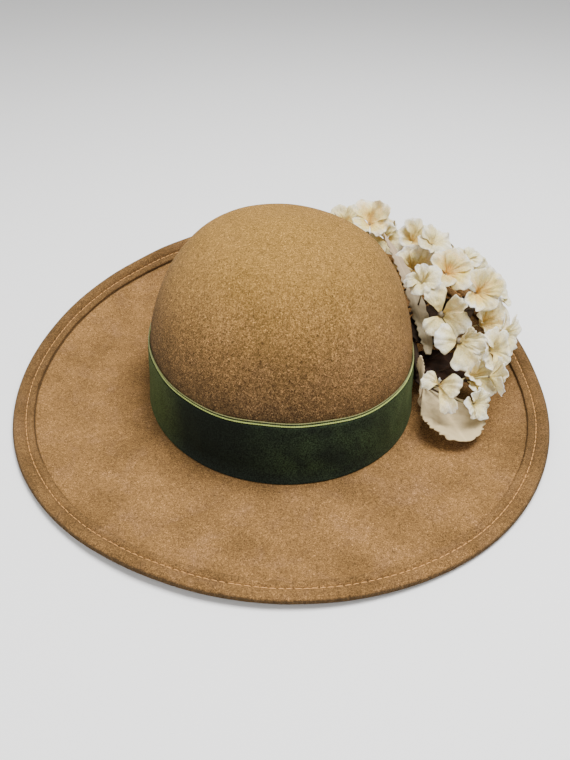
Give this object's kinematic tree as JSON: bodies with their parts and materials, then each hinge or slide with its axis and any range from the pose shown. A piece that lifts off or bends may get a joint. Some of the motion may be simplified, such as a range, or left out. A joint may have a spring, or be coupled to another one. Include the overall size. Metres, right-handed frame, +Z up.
{
  "type": "wide-brimmed felt hat with cloth flowers",
  "caption": "Camel wool felt hat with a round crown, a wide curled brim with a stitched hem, a dark velvet band and a spray of cloth flowers.",
  "frame": {"origin": "middle of the head opening, on the plane that the hat rests on", "axes": "+Z up through the crown, -Y to the front of the hat, +X to the side that carries the flowers"},
  "size_m": [0.352, 0.3641, 0.1229],
  "materials": {
    "felt": "brushed wool felt",
    "velvet": "short pile velvet",
    "cord": "twisted cord",
    "stem": "wrapped wire",
    "leaf": "matt velvet",
    "petal": "thin matt cloth"
  },
  "bodies": {
    "root": {"felt_crown": "felt", "felt_brim": "felt", "velvet_band": "velvet", "edge_cord_lower": "cord", "edge_cord_upper": "cord", "spray_stem": "stem", "leaf_crown_side": "leaf", "leaf_back": "leaf", "leaf_upright": "leaf", "leaf_broad": "leaf", "leaf_outer": "leaf", "leaf_under": "leaf", "floret_01": "petal", "floret_02": "petal", "floret_03": "petal", "floret_04": "petal", "floret_05": "petal", "floret_06": "petal", "floret_07": "petal", "floret_08": "petal", "floret_09": "petal", "floret_10": "petal", "floret_11": "petal", "floret_12": "petal", "floret_13": "petal", "floret_14": "petal", "floret_15": "petal", "floret_16": "petal", "floret_17": "petal", "floret_18": "petal", "floret_19": "petal", "floret_20": "petal", "floret_21": "petal", "floret_22": "petal", "floret_23": "petal", "floret_24": "petal", "floret_25": "petal", "floret_26": "petal", "floret_27": "petal", "floret_28": "petal", "floret_29": "petal"}
  },
  "joints": []
}
